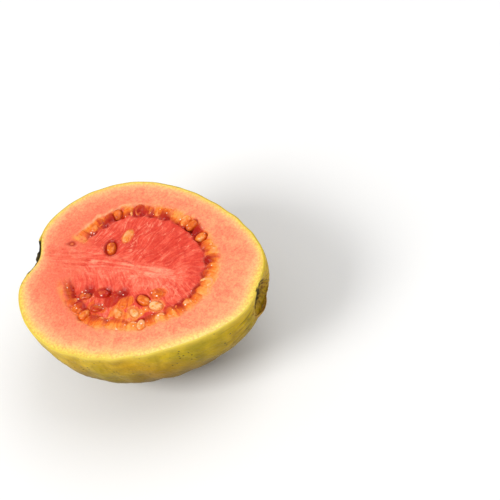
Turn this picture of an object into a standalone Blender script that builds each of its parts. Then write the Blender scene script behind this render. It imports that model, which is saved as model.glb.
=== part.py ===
"""Half of a ripe pink guava, cut lengthwise, lying on its rounded back with the cut face up.

Metres, +Z up. The stem end is at -X, the flower end at +X, and the cut face is level on top.
The origin is the middle of the bottom of the half's bounding box, level with the small flat spot
that it rests on, whose middle is a little nearer the stem.
The fruit grew in one piece, so skin, flesh, seeds, stem stub and sepals are one closed body.
"""

import math

import bmesh
import bpy
import numpy as np
from mathutils import Matrix, Vector

MM = 0.001
NAME = "half_guava"

# The fruit's outline in the cut, from a profile that is turned half way round the long axis
HALF_LENGTH = 49.3 * MM
HALF_WIDTH = 36.9 * MM
END_ROUNDNESS = 0.894
STEM_END_FULLER = 0.259
ENDS_SLIMMER = 0.112
STEM_DENT_DEPTH = 5.1 * MM
STEM_DENT_RADIUS = 8.7 * MM
FLOWER_FLAT_DEPTH = 5.5 * MM
FLOWER_FLAT_RADIUS = 13.7 * MM
SECTION_POWER = 2.4
SECTION_DEPTH = 1.12
LUMP_HEIGHT = 0.35 * MM
# Each lump: its share of that height, then waves and phase along the fruit, then waves and phase round it
LUMPS = ((1.0, 3, 0.6, 3, 0.4), (0.7, 5, 0.0, 2, 1.9))

# Height of the cut face over the flat spot that the half rests on
FACE_HEIGHT = 41.4 * MM

# Hollow where the sepals stand, its middle a little below the cut
CALYX_Y = -1.0 * MM
CALYX_BELOW_FACE = 6.5 * MM
CALYX_HOLLOW_DEPTH = 3.6 * MM
CALYX_HOLLOW_RADIUS = 6.4 * MM
SEPAL_RING_RADIUS = 7.8 * MM
SEPAL_THICKNESS = 1.1 * MM
SEPAL_SHORT = 1.2 * MM
SEPAL_NOTCH = 1.0 * MM
SEPAL_ROOT = 4.0 * MM
SEPAL_LEAN = 0.7 * MM
SEPAL_BELOW_FACE = 0.5 * MM
SEPAL_LOBES = 5
SEPAL_STEPS = 6

# Dry stub of the stem, just under the cut
STUB_RADIUS = 4.4 * MM
STUB_Y = 2.6 * MM
STUB_BELOW_FACE = 0.4 * MM
STUB_REACH = 1.4 * MM
STUB_ROOT = 4.0 * MM
STUB_TAPER = 0.8
STUB_SIDES = 12

# Pulp, an ellipse ringed by seeds and open towards the stem
PULP_CENTRE = (-3.0 * MM, 1.4 * MM)
PULP_RADII = (30.9 * MM, 26.5 * MM)
PULP_MOAT = 1.0 * MM
PULP_SINK = 0.4 * MM
PULP_OPENING = math.radians(25.0)
PULP_EDGE = 0.1
MOAT_WIDTH = 0.09

# Seeds: how far a seed's middle lies under the cut, and where seeds stand as shares of the pulp's edge
SEED_RADII = (2.45 * MM, 1.7 * MM, 1.7 * MM)
SEED_SIZE_SPREAD = 0.14
SEED_SINK = (1.03 * MM, 1.32 * MM)
SEED_SHARE_SPREAD = 0.02
RING_SEEDS = 37
RING_SPAN = (math.radians(157.0), math.radians(-137.0))
RING_SHARE = 0.93
RING_STEP_SPREAD = 0.18
RING_TURN_SPREAD = 0.22
BAND_SEEDS = 10
BAND_SPAN = (math.radians(-42.0), math.radians(-136.0))
BAND_SHARE = 0.64
BAND_ZIGZAG = 0.1
BAND_STEP_SPREAD = 0.3
BAND_TURN_SPREAD = 0.8
PAIR_ANGLES = (math.radians(119.0), math.radians(149.0))
PAIR_SHARE = 0.48
PAIR_TURN_SPREAD = 0.5
SEED_DRAW = 7

# Mesh resolution
RIM_ROWS = 56
FACE_RINGS = 18
LEAST_SKIN_STEPS = 4
LEAST_RING_STEPS = 8
SKIN_EDGE = 2.9 * MM
SEED_SIDES = 8
SEED_RINGS = 5
SLIVER = 0.05 * MM


def half_width(t):
    """Distance of the skin from the long axis at angle t, 0 at the stem end and pi at the flower end."""
    fullness = 1.0 + STEM_END_FULLER * math.cos(t) - ENDS_SLIMMER * math.cos(t) ** 2
    return HALF_WIDTH * max(math.sin(t), 0.0) ** END_ROUNDNESS * fullness


def station(t, rho):
    """Place along the axis: an ellipse's, pushed in by a bell-shaped dent at each end."""
    x = -HALF_LENGTH * math.cos(t)
    if t < math.pi / 2:
        return x + STEM_DENT_DEPTH * math.exp(-((rho / STEM_DENT_RADIUS) ** 2))
    return x - FLOWER_FLAT_DEPTH * math.exp(-((rho / FLOWER_FLAT_RADIUS) ** 2))


def outline_middle():
    """Middle of the cut outline's length, which goes to the origin."""
    xs = [station(t, half_width(t)) for t in np.linspace(0.0, math.pi, 721)]
    return (min(xs) + max(xs)) / 2


MIDDLE = outline_middle()


def rim(phi):
    """Point of the cut outline: phi 0 to pi runs along the far side, and on to 2 pi along the near one."""
    t = phi if phi <= math.pi else 2 * math.pi - phi
    rho = half_width(t)
    side = 1.0 if phi <= math.pi else -1.0
    return Vector((station(t, rho) - MIDDLE, side * rho, FACE_HEIGHT))


def skin(t, b):
    """Point of the skin: section angle b runs from 0 at the far rim under the fruit to pi at the near one.
    The section is a rounded square, deeper than wide, with a few long low lumps that fade at the rim."""
    rho = half_width(t)
    c, s = math.cos(b), math.sin(b)
    lumps = sum(h * math.sin(m * t + p) * math.sin(n * b + q) for h, m, p, n, q in LUMPS)
    radius = rho + LUMP_HEIGHT * lumps * math.sin(t) * s
    y = radius * math.copysign(abs(c) ** (2 / SECTION_POWER), c)
    z = -SECTION_DEPTH * radius * abs(s) ** (2 / SECTION_POWER)
    x = station(t, rho)
    if t > math.pi / 2:
        off = math.hypot(y - CALYX_Y, z + CALYX_BELOW_FACE) / CALYX_HOLLOW_RADIUS
        x -= CALYX_HOLLOW_DEPTH * math.exp(-(off**4)) * s
    return Vector((x - MIDDLE, y, max(FACE_HEIGHT + z, 0.0)))


def smooth_step(value):
    """Rises from 0 to 1 with level ends."""
    value = min(max(value, 0.0), 1.0)
    return value * value * (3 - 2 * value)


def pulp_place(x, y):
    """Distance from the pulp's middle as a share of its edge, and the angle round it, 0 at the flower end."""
    u = (x - PULP_CENTRE[0]) / PULP_RADII[0]
    v = (y - PULP_CENTRE[1]) / PULP_RADII[1]
    return math.hypot(u, v), math.atan2(v, u)


def pulp_point(share, angle):
    """Place on the cut face at a share of the pulp's edge and an angle round it."""
    x = PULP_CENTRE[0] + PULP_RADII[0] * share * math.cos(angle)
    y = PULP_CENTRE[1] + PULP_RADII[1] * share * math.sin(angle)
    return x, y


def relief(x, y):
    """Depth of the cut face under its rim: a shallow moat for the seeds, with the pulp a little sunk inside
    it, and none towards the stem, where the pulp runs on as a neck."""
    share, angle = pulp_place(x, y)
    sunk = PULP_SINK * smooth_step((1.0 - share) / PULP_EDGE)
    moat = (PULP_MOAT - PULP_SINK) * math.exp(-(((share - RING_SHARE) / MOAT_WIDTH) ** 2))
    closed = smooth_step((math.pi - abs(angle)) / PULP_OPENING)
    return (sunk + moat) * closed


def strip(mesh, first, second, material, closed=False):
    """Triangles between two rows of points that may differ in number, stepping along whichever lags."""
    a = first + first[:1] if closed else first
    b = second + second[:1] if closed else second
    i = j = 0
    while i < len(a) - 1 or j < len(b) - 1:
        step_a = (i + 1) * (len(b) - 1) <= (j + 1) * (len(a) - 1)
        if j == len(b) - 1 or (step_a and i < len(a) - 1):
            corners = (a[i], a[i + 1], b[j])
            i += 1
        else:
            corners = (a[i], b[j + 1], b[j])
            j += 1
        if len(set(corners)) == 3:
            mesh.faces.new(corners).material_index = material


def material(name, colour, roughness):
    """Principled material with a linear base colour."""
    made = bpy.data.materials.new(name)
    made.use_nodes = True
    made.diffuse_color = (*colour, 1.0)
    shader = made.node_tree.nodes["Principled BSDF"]
    shader.inputs["Base Color"].default_value = (*colour, 1.0)
    shader.inputs["Roughness"].default_value = roughness
    shader.inputs["Metallic"].default_value = 0.0
    return made


def new_object(name, mesh, materials, collection):
    """Mesh data from a bmesh with its faces turned outwards, as a smooth-shaded object."""
    bmesh.ops.recalc_face_normals(mesh, faces=mesh.faces)
    data = bpy.data.meshes.new(name)
    mesh.to_mesh(data)
    mesh.free()
    for entry in materials:
        data.materials.append(entry)
    data.shade_smooth()
    made = bpy.data.objects.new(name, data)
    collection.objects.link(made)
    return made


def fruit_body(materials):
    """Skin in rows from end to end, closed by the cut face in rings that shrink to its middle."""
    mesh = bmesh.new()
    steps = [math.pi * i / RIM_ROWS for i in range(RIM_ROWS + 1)]
    far, near, rows = [], [], []
    for t in steps:
        if t in (steps[0], steps[-1]):
            row = [mesh.verts.new(rim(t))]
        else:
            count = max(LEAST_SKIN_STEPS, round(math.pi * half_width(t) / SKIN_EDGE))
            row = [mesh.verts.new(skin(t, math.pi * k / count)) for k in range(count + 1)]
        rows.append(row)
        far.append(row[0])
        near.append(row[-1])
    for first, second in zip(rows, rows[1:]):
        strip(mesh, first, second, 0)
    ring = far + near[-2:0:-1]
    whole = len(ring)
    for k in range(1, FACE_RINGS):
        share = 1.0 - k / FACE_RINGS
        count = max(LEAST_RING_STEPS, round(whole * share))
        inner = []
        for j in range(count):
            edge = rim(2 * math.pi * j / count)
            x, y = edge.x * share, edge.y * share
            inner.append(mesh.verts.new((x, y, FACE_HEIGHT - relief(x, y))))
        in_pulp = pulp_place(*inner[count // 4].co.xy)[0] < 1.0
        strip(mesh, ring, inner, 2 if in_pulp else 1, closed=True)
        ring = inner
    centre = mesh.verts.new((0.0, 0.0, FACE_HEIGHT - relief(0.0, 0.0)))
    strip(mesh, ring, [centre], 2, closed=True)
    return new_object(NAME, mesh, materials, bpy.context.scene.collection)


def seed_places():
    """A row of seeds like teeth along the pulp's edge, a looser band on the near side and a pair on the far
    side. Each entry is place, height, turn and size."""
    draw = np.random.default_rng(SEED_DRAW)
    places = []

    def add(angle, share, turn_spread):
        x, y = pulp_point(share + draw.normal(0.0, SEED_SHARE_SPREAD), angle)
        outward = math.atan2(y - PULP_CENTRE[1], x - PULP_CENTRE[0])
        turn = outward + draw.normal(0.0, turn_spread)
        size = 1.0 + draw.uniform(-SEED_SIZE_SPREAD, SEED_SIZE_SPREAD)
        places.append((x, y, FACE_HEIGHT - draw.uniform(*SEED_SINK), turn, size))

    def step(k, count, span, spread):
        return span[0] + (span[1] - span[0]) * (k + 0.5 + draw.uniform(-spread, spread)) / count

    for k in range(RING_SEEDS):
        add(step(k, RING_SEEDS, RING_SPAN, RING_STEP_SPREAD), RING_SHARE, RING_TURN_SPREAD)
    for k in range(BAND_SEEDS):
        share = BAND_SHARE + (BAND_ZIGZAG if k % 2 else -BAND_ZIGZAG)
        add(step(k, BAND_SEEDS, BAND_SPAN, BAND_STEP_SPREAD), share, BAND_TURN_SPREAD)
    for angle in PAIR_ANGLES:
        add(angle, PAIR_SHARE, PAIR_TURN_SPREAD)
    return places


def seeds(collection, seed_material):
    """One few-sided ellipsoid for each seed, its long way pointing out from the pulp's middle."""
    for x, y, z, turn, size in seed_places():
        mesh = bmesh.new()
        place = Matrix.Translation((x, y, z)) @ Matrix.Rotation(turn, 4, "Z")
        stretch = Matrix.Diagonal((*(r * size for r in SEED_RADII), 1.0))
        bmesh.ops.create_uvsphere(
            mesh, u_segments=SEED_SIDES, v_segments=SEED_RINGS, radius=1.0, matrix=place @ stretch
        )
        new_object("seed", mesh, [seed_material], collection)


def stem_stub(collection, dry_material):
    """Tapered plug along the axis, rooted in the bottom of the stem dent."""
    mesh = bmesh.new()
    bottom = station(0.0, 0.0) - MIDDLE
    length = STUB_ROOT + STUB_REACH
    middle = bottom + STUB_ROOT - length / 2
    place = Matrix.Translation((middle, STUB_Y, FACE_HEIGHT - STUB_RADIUS - STUB_BELOW_FACE))
    lie = Matrix.Rotation(-math.pi / 2, 4, "Y")
    bmesh.ops.create_cone(
        mesh,
        cap_ends=True,
        segments=STUB_SIDES,
        radius1=STUB_RADIUS,
        radius2=STUB_RADIUS * STUB_TAPER,
        depth=length,
        matrix=place @ lie,
    )
    new_object("stem_stub", mesh, [dry_material], collection)


def sepals(collection, dry_material):
    """Crown of sepals round the hollow: a thin wall along an arc that stops at the cut, its edge in lobes."""
    mesh = bmesh.new()
    reach = rim_reach() - SEPAL_SHORT
    root = station(math.pi, 0.0) - MIDDLE - SEPAL_ROOT
    top = CALYX_BELOW_FACE - SEPAL_BELOW_FACE
    open_half = math.acos(top / (SEPAL_RING_RADIUS + SEPAL_THICKNESS))
    count = SEPAL_LOBES * SEPAL_STEPS
    rows = []
    for k in range(count + 1):
        angle = open_half + (2 * math.pi - 2 * open_half) * k / count
        lobe = abs(math.sin(0.5 * SEPAL_LOBES * angle))
        tip = reach - SEPAL_NOTCH * (1.0 - lobe) ** 2
        row = []
        for radius, x in (
            (SEPAL_RING_RADIUS, root),
            (SEPAL_RING_RADIUS + SEPAL_THICKNESS, root),
            (SEPAL_RING_RADIUS + SEPAL_THICKNESS - SEPAL_LEAN, tip),
            (SEPAL_RING_RADIUS - SEPAL_LEAN, tip),
        ):
            y = CALYX_Y + radius * math.sin(angle)
            z = FACE_HEIGHT - CALYX_BELOW_FACE + radius * math.cos(angle)
            row.append(mesh.verts.new((x, y, z)))
        rows.append(row)
    for first, second in zip(rows, rows[1:]):
        strip(mesh, first, second, 0, closed=True)
    mesh.faces.new(rows[0])
    mesh.faces.new(rows[-1])
    new_object("sepals", mesh, [dry_material], collection)


def rim_reach():
    """How far the cut outline goes past the origin towards the flower end."""
    return max(rim(t).x for t in np.linspace(math.pi / 2, math.pi, 361))


def fuse(body, collection):
    """Union of the body with all that stands in it, applied and freed of slivers, after which the loose
    parts are removed."""
    union = body.modifiers.new("fused", "BOOLEAN")
    union.operation = "UNION"
    union.operand_type = "COLLECTION"
    union.collection = collection
    union.solver = "EXACT"
    union.material_mode = "TRANSFER"
    evaluated = body.evaluated_get(bpy.context.evaluated_depsgraph_get())
    joined = bpy.data.meshes.new_from_object(evaluated)
    body.modifiers.remove(union)
    old = body.data
    body.data = joined
    bpy.data.meshes.remove(old)
    tidy = bmesh.new()
    tidy.from_mesh(joined)
    bmesh.ops.dissolve_degenerate(tidy, dist=SLIVER, edges=tidy.edges)
    bmesh.ops.triangulate(tidy, faces=tidy.faces)
    tidy.to_mesh(joined)
    tidy.free()
    for loose in list(collection.objects):
        bpy.data.objects.remove(loose)
    bpy.data.collections.remove(collection)
    joined.name = NAME


def main():
    for old in list(bpy.data.objects):
        bpy.data.objects.remove(old)
    skin_material = material("guava_skin", (0.55, 0.42, 0.07), 0.45)
    flesh_material = material("guava_flesh", (0.93, 0.27, 0.15), 0.5)
    pulp_material = material("guava_pulp", (0.82, 0.08, 0.05), 0.35)
    seed_material = material("guava_seed", (0.75, 0.3, 0.07), 0.35)
    dry_material = material("dry_calyx", (0.2, 0.12, 0.03), 0.8)
    body = fruit_body([skin_material, flesh_material, pulp_material])
    parts = bpy.data.collections.new("fused_parts")
    bpy.context.scene.collection.children.link(parts)
    seeds(parts, seed_material)
    stem_stub(parts, dry_material)
    sepals(parts, dry_material)
    fuse(body, parts)


main()
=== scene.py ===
"""Looks of a ripe pink guava half lying face up: peel, cut flesh, pulp, seeds, sepals and stem stub, with a
plain studio stage. Lengths are metres, and +X runs from the stem to the flower end."""

import math

import bmesh
import bpy
import numpy as np
from bpy.props import FloatProperty, FloatVectorProperty, IntProperty, PointerProperty
from bpy.types import Operator, Panel, PropertyGroup
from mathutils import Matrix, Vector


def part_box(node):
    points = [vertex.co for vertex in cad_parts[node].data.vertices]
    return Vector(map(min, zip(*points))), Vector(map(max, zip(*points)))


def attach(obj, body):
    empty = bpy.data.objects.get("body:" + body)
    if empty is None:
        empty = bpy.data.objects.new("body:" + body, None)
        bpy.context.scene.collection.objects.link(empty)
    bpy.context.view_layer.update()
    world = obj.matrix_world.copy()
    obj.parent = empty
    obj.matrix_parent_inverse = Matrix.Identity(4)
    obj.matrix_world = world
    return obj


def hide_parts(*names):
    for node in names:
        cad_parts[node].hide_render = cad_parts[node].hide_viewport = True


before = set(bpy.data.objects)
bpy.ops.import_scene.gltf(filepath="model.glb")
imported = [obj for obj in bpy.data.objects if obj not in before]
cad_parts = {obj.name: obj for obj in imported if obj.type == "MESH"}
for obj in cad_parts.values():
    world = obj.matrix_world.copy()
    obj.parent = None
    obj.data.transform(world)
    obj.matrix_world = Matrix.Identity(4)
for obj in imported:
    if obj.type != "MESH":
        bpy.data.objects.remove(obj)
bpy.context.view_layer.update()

bl_info = {
    "name": "Half Guava",
    "version": (1, 0, 0),
    "blender": (4, 5, 0),
    "location": "3D View > Sidebar > Guava",
    "description": "Builds the peel, flesh, pulp, seeds and dry ends of a cut guava, and its studio stage",
    "category": "Add Mesh",
}

MM = 0.001
NODE = "half_guava"
LOW, HIGH = (np.array(corner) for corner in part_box(NODE))


def linear(hex_colour):
    """Linear RGB of an sRGB hex colour such as f08a6c."""
    srgb = np.array([int(hex_colour[i : i + 2], 16) / 255 for i in (0, 2, 4)])
    return tuple(np.where(srgb <= 0.04045, srgb / 12.92, ((srgb + 0.055) / 1.055) ** 2.4))


def length_setting(name, description, default):
    """Property that holds a length."""
    return FloatProperty(name=name, description=description, default=default, unit="LENGTH")


def angle_setting(name, description, degrees):
    """Property that holds an angle."""
    return FloatProperty(name=name, description=description, default=math.radians(degrees), subtype="ANGLE")


def colour_setting(name, description, hex_colour):
    """Property that holds a colour."""
    default = linear(hex_colour)
    return FloatVectorProperty(name=name, description=description, default=default, size=3, subtype="COLOR")


def steps_setting(name, description, default, least):
    """Property that holds how many steps a grid has."""
    return IntProperty(name=name, description=description, default=default, min=least)


class GuavaFruit(PropertyGroup):
    """Sizes of the whole half, which the peel, the flesh and the pulp share."""

    half_length: length_setting("Half length", "Half the length before the ends are pushed in", 49.3 * MM)
    half_width: length_setting("Half width", "Half the fruit's width at the middle", 36.9 * MM)
    face_height: length_setting("Face height", "Height of the cut over the floor", 41.4 * MM)
    peel_thickness: length_setting("Peel", "Thickness of the green peel seen at the cut", 0.6 * MM)
    lump_height: length_setting("Lumps", "Height of the long low lumps of the skin", 0.35 * MM)
    unevenness: length_setting("Unevenness", "Height of the low waves of the skin and the rim", 0.13 * MM)
    rim_radius: length_setting("Rim radius", "Rounding of the edge of the cut", 0.45 * MM)


class GuavaLooks(PropertyGroup):
    """Colours of the finishes."""

    skin: colour_setting("Skin", "Main colour of the ripe peel", "dab212")
    flesh: colour_setting("Flesh", "Colour of the firm wall", "fca475")
    pulp: colour_setting("Pulp", "Colour of the soft core", "dc402d")
    seed: colour_setting("Seed", "Colour of a seed in its gel", "ea7220")
    sepal: colour_setting("Sepals", "Colour of the dry sepals", "c09636")


# The fruit's outline and section, as in the solid. A lump has a height, then its number of waves and its
# shift along the fruit, then the same two round the section
END_ROUNDNESS = 0.894
STEM_END_FULLER = 0.259
ENDS_SLIMMER = 0.112
STEM_DENT_DEPTH = 5.1 * MM
STEM_DENT_RADIUS = 8.7 * MM
FLOWER_FLAT_DEPTH = 5.5 * MM
FLOWER_FLAT_RADIUS = 13.7 * MM
SECTION_POWER = 2.4
SECTION_DEPTH = 1.12
LUMPS = ((1.0, 3, 0.6, 3, 0.4), (0.7, 5, 0.0, 2, 1.9))

# Hollow of the sepals and the stub of the stem, as in the solid
CALYX_Y = -1.0 * MM
CALYX_BELOW_FACE = 6.5 * MM
CALYX_HOLLOW_DEPTH = 3.6 * MM
CALYX_HOLLOW_RADIUS = 6.4 * MM
SEPAL_RING_RADIUS = 7.8 * MM
SEPAL_THICKNESS = 1.1 * MM
SEPAL_SHORT = 1.2 * MM
SEPAL_NOTCH = 1.0 * MM
SEPAL_TIP_GAP = 0.4 * MM
SEPAL_RAGGED = 0.12 * MM
SEPAL_ROOT = 3.0 * MM
SEPAL_LEAN = 0.7 * MM
SEPAL_BELOW_FACE = 0.5 * MM
SEPAL_LOBES = 5
STUB_RADIUS = 4.4 * MM
STUB_Y = 2.6 * MM
STUB_BELOW_FACE = 0.4 * MM
STUB_REACH = 1.4 * MM
STUB_ROOT = 4.0 * MM

# Pulp and seeds, as in the solid
PULP_CENTRE = (-3.0 * MM, 1.4 * MM)
PULP_RADII = (30.9 * MM, 26.5 * MM)
PULP_SINK = 0.4 * MM
PULP_MOAT = 1.0 * MM
PULP_EDGE = 0.1
SEED_RADII = (2.45 * MM, 1.7 * MM, 1.7 * MM)
SEED_SIZE_SPREAD = 0.14
SEED_SINK = (1.03 * MM, 1.32 * MM)
SEED_SHARE_SPREAD = 0.02
RING_SEEDS = 37
RING_SPAN = (math.radians(157.0), math.radians(-137.0))
RING_SHARE = 0.93
RING_STEP_SPREAD = 0.18
RING_TURN_SPREAD = 0.22
BAND_SEEDS = 10
BAND_SPAN = (math.radians(-42.0), math.radians(-136.0))
BAND_SHARE = 0.64
BAND_ZIGZAG = 0.1
BAND_STEP_SPREAD = 0.3
BAND_TURN_SPREAD = 0.8
PAIR_ANGLES = (math.radians(119.0), math.radians(149.0))
PAIR_SHARE = 0.48
PAIR_TURN_SPREAD = 0.5
SEED_DRAW = 7

# A seed's own form: how much blunter its outer end is, how full it is, how deep its dents are as a share of
# its half width, and how much higher a clean one stands
SEED_BLUNTNESS = 0.16
SEED_ROUNDNESS = 0.7
SEED_DENTS = 0.05
CLEAN_LIFT = 0.3 * MM

# The pulp's edge swells and draws in by a few hundredths round its ellipse: angle in degrees and factor
PULP_FORM = (
    (-180, 0.97), (-139, 0.98), (-120, 1.0), (-109, 1.04), (-91, 0.99), (-78, 1.01), (-57, 0.965), (-37, 1.0),
    (-11, 1.02), (9, 1.02), (34, 0.98), (65, 0.967), (93, 0.99), (112, 1.04), (137, 1.01), (180, 0.97),
)

# Empty seed pits on the near side: shares of the pulp's edge and angles round it
PITS = ((0.66, math.radians(-137.0)), (0.5, math.radians(-120.0)), (0.41, math.radians(-96.0)))
PIT_RADIUS = 2.0 * MM
PIT_DEPTH = 1.3 * MM

# Stray patches of gel past the ring's open end, and the small dark eye in the first one: x, y and radius
STRAY_GEL = (
    (-31.5 * MM, 7.8 * MM, 0.9 * MM),
    (-27.6 * MM, 9.8 * MM, 1.8 * MM),
    (-30.4 * MM, 10.8 * MM, 2.2 * MM),
)
EYE = (-31.5 * MM, 7.8 * MM, 1.5 * MM)

# The bed of gel that the ring of seeds lies in: its middle and half width as shares of the pulp's edge
BED_SHARE = 0.92
BED_WIDTH = 0.085

# Relief of the cut: bed, groove and gaps of the ring, how gel falls from a seed's top, the pocket and brim
# round a clean seed, strands and low waves, and the dip along the rim
BED_DEPTH = 0.65 * MM
GROOVE_DEPTH = 0.5 * MM
GAP_DEPTH = 0.7 * MM
GEL_TOP = 0.05 * MM
GEL_FALL = 0.36 * MM
GEL_EASE = 0.1 * MM
CLEAN_FALL = 1.2 * MM
POCKET_DEPTH = 0.9 * MM
POCKET_BRIM = 0.15 * MM
STRAND_RELIEF = 0.03 * MM
PULP_WAVES = 0.09 * MM
FLESH_WAVES = 0.03 * MM
RIM_DIP = 0.12 * MM

# How deep the flesh and the pulp go under the cut
FLESH_DEPTH = 33 * MM
PULP_DEPTH = 7 * MM

# Relief of the peel, the dry skin round both ends, and painted shade on the floor of the sepals' hollow
WRINKLE_HEIGHT = 0.18 * MM
PEBBLE_HEIGHT = 0.035 * MM
SWELL_HEIGHT = 0.09 * MM
SCAR_RADIUS = 8.5 * MM
FLOWER_DRY_RADIUS = 7 * MM
HOLLOW_SHADE_Y = -1.4 * MM
HOLLOW_SHADE_BELOW_FACE = 5.6 * MM
HOLLOW_SHADE_RADIUS = 5.3 * MM

# The strands' axis, a little aslant, and how sharply they bend from it, in millimetres to the half
AXIS_Y = 0.9 * MM
AXIS_SLOPE = -0.055
STRAND_BEND = 3.0
STRAND_REACH = 27 * MM
CORE_WIDTH = 2.6
CORE_WIDENING = 0.4

# Patterns of pulp and gel on coordinates in millimetres: fibres 1.25 mm, threads 2 mm and teeth of gel 1.4 mm
# wide, and how fibres and threads are drawn out. By the axis fibres run level, 8 mm long and 1.1 mm wide
FIBRES_PER_MM = 0.8
THREADS_PER_MM = 0.5
TEETH_PER_MM = 0.7
FIBRE_STRETCH = (1.0, 0.09, 1.0)
THREAD_STRETCH = (1.0, 0.14, 1.0)
LEVEL_FIBRES_PER_METRE = (120.0, 900.0, 120.0)

# Tones of the seeds, from 0, deep red, through brown and orange to 1, pale peach: along the ring by angle in
# degrees, then in the band and in the pair one by one
RING_TONES = (
    (-137, 0.5), (-128, 0.5), (-117, 0.64), (-109, 0.6), (-99, 0.9), (-86, 0.8), (-75, 0.93),
    (-62, 0.75), (-54, 0.85), (-46, 0.88), (-36, 0.48), (-30, 0.78), (-23, 0.72), (-16, 0.88),
    (-4, 1.0), (8, 0.78), (16, 0.5), (25, 0.82), (32, 0.96), (43, 0.62), (48, 0.24),
    (59, 0.66), (67, 0.8), (74, 0.9), (82, 0.52), (90, 0.76), (96, 0.5), (101, 0.62),
    (107, 0.15), (113, 0.72), (119, 0.5), (132, 0.45), (139, 0.65), (157, 0.62),
)
BAND_TONES = (0.55, 0.95, 0.6, 0.92, 0.62, 0.8, 0.12, 0.34, 0.08, 0.38)
PAIR_TONES = (0.8, 0.5)
TONE_SPREAD = 0.08

# Ring seeds that lie clear of the gel: middle and half width of their stretch in degrees, and their least
# tone. A share of the others lies half clear, but none between the two angles of the veiled stretch
CLEAR_STRETCH = (51.0, 12.0)
CLEAR_LEAST_TONE = 0.3
HALF_CLEAR_SHARE = 0.3
VEILED_STRETCH = (-60.0, 85.0)

# How clear of the gel the band's and the pair's seeds lie, from 0, drowned, to 1, clean
BAND_CLEAR = (0.1, 0.4, 1.0, 0.3, 0.0, 0.2, 0.0, 0.5, 0.0, 0.5)
PAIR_CLEAR = (0.1, 1.0)

# Point of the cut that the camera looks at, its focal length and the image's side in pixels, and the floor
CAMERA_AIM = (37.6 * MM, 13.07 * MM)
FOCAL_PIXELS = 1852.0
IMAGE_PIXELS = 500.0
FLOOR_REACH = 3.0

# Deep red gaps in the ring: angle and half width in degrees, and how deep the red is
RING_GAPS = (
    (131, 6, 0.5), (107, 4, 1.0), (82, 4, 0.5), (50, 5, 1.0), (16, 3, 0.8), (-37, 3, 0.7), (-66, 3, 0.5),
)


def smooth_step(value):
    """Rises from 0 to 1 with level ends."""
    value = np.clip(value, 0.0, 1.0)
    return value * value * (3 - 2 * value)


def bell(value, centre, width, power=2):
    """1 at the centre and near 0 past a width: e to minus the distance in widths, raised to the power."""
    return np.exp(-(((value - centre) / width) ** power))


def waves(points, size, count, seed):
    """Smooth random field of unit spread: the sum of sine waves in random directions, their lengths round
    size."""
    draw = np.random.default_rng(seed)
    direction = draw.normal(size=(count, points.shape[-1]))
    direction /= np.linalg.norm(direction, axis=1, keepdims=True)
    length = size * draw.uniform(0.7, 1.5, (count, 1))
    phase = draw.uniform(0.0, 2 * np.pi, count)
    return np.sin(points @ (2 * np.pi * direction / length).T + phase).sum(-1) * math.sqrt(2 / count)


def profile(t):
    """Place along the axis and half width at angle t, 0 at the stem end and pi at the flower end: an ellipse
    made fuller towards the stem, with a bell-shaped dent at each end."""
    fruit = bpy.context.scene.guava_fruit
    c, s = np.cos(t), np.clip(np.sin(t), 0.0, 1.0)
    rho = fruit.half_width * s**END_ROUNDNESS * (1.0 + STEM_END_FULLER * c - ENDS_SLIMMER * c**2)
    stem = STEM_DENT_DEPTH * bell(rho, 0.0, STEM_DENT_RADIUS)
    flower = -FLOWER_FLAT_DEPTH * bell(rho, 0.0, FLOWER_FLAT_RADIUS)
    return -fruit.half_length * c + np.where(t < np.pi / 2, stem, flower), rho


def middle():
    """Middle of the cut outline's length, which stands at the origin."""
    x, _ = profile(np.linspace(0.0, np.pi, 721))
    return (x.min() + x.max()) / 2 - (LOW[0] + HIGH[0]) / 2


def rim_distance(x, y):
    """Distance of points on the cut from its outline, square to it: what is left of the ray from the middle
    through the point, times the cosine of its slant to the outline."""
    phi = np.linspace(-0.05, 2 * np.pi + 0.05, 2880)
    edge = rim(phi % (2 * np.pi))
    bearing = np.unwrap(np.arctan2(edge[:, 1], -edge[:, 0]))
    along = np.gradient(edge, axis=0)
    along /= np.linalg.norm(along, axis=-1, keepdims=True)
    square = np.abs(edge[:, 0] * along[:, 1] - edge[:, 1] * along[:, 0])
    here = np.arctan2(y, -x) % (2 * np.pi)
    reach = np.interp(here, bearing, np.linalg.norm(edge, axis=-1))
    return (1.0 - np.hypot(x, y) / reach) * np.interp(here, bearing, square)


def unevenness(t, c):
    """How far the outline and the skin swell or draw in: low waves along t, and round by the cosine c of the
    section angle, so that the cut and the skin agree at the rim."""
    fruit = bpy.context.scene.guava_fruit
    place = np.stack([fruit.half_length * t, fruit.half_width * c], -1)
    return fruit.unevenness * waves(place, 13 * MM, 16, 11) * np.sin(t)


def rim(phi):
    """The cut outline: phi 0 to pi runs along the far side, and on to 2 pi along the near one."""
    far = phi <= np.pi
    t = np.where(far, phi, 2 * np.pi - phi)
    x, rho = profile(t)
    rho = rho + unevenness(t, np.where(far, 1.0, -1.0))
    return np.stack([x - middle(), np.where(far, rho, -rho)], -1)


def skin(t, b):
    """The skin: section angle b runs from 0 at the far rim under the fruit to pi at the near one, along a
    rounded square, deeper than wide, with long low lumps that fade at the rim."""
    fruit = bpy.context.scene.guava_fruit
    x, rho = profile(t)
    c, s = np.cos(b), np.abs(np.sin(b))
    lumps = sum(h * np.sin(m * t + p) * np.sin(n * b + q) for h, m, p, n, q in LUMPS)
    radius = rho + fruit.lump_height * lumps * np.sin(t) * s + unevenness(t, c)
    y = radius * np.sign(c) * np.abs(c) ** (2 / SECTION_POWER)
    z = -SECTION_DEPTH * radius * s ** (2 / SECTION_POWER)
    off = np.hypot(y - CALYX_Y, z + CALYX_BELOW_FACE)
    x = x - np.where(t > np.pi / 2, CALYX_HOLLOW_DEPTH * bell(off, 0.0, CALYX_HOLLOW_RADIUS, 4) * s, 0.0)
    return np.stack([x - middle(), y, fruit.face_height + z], -1)


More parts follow.
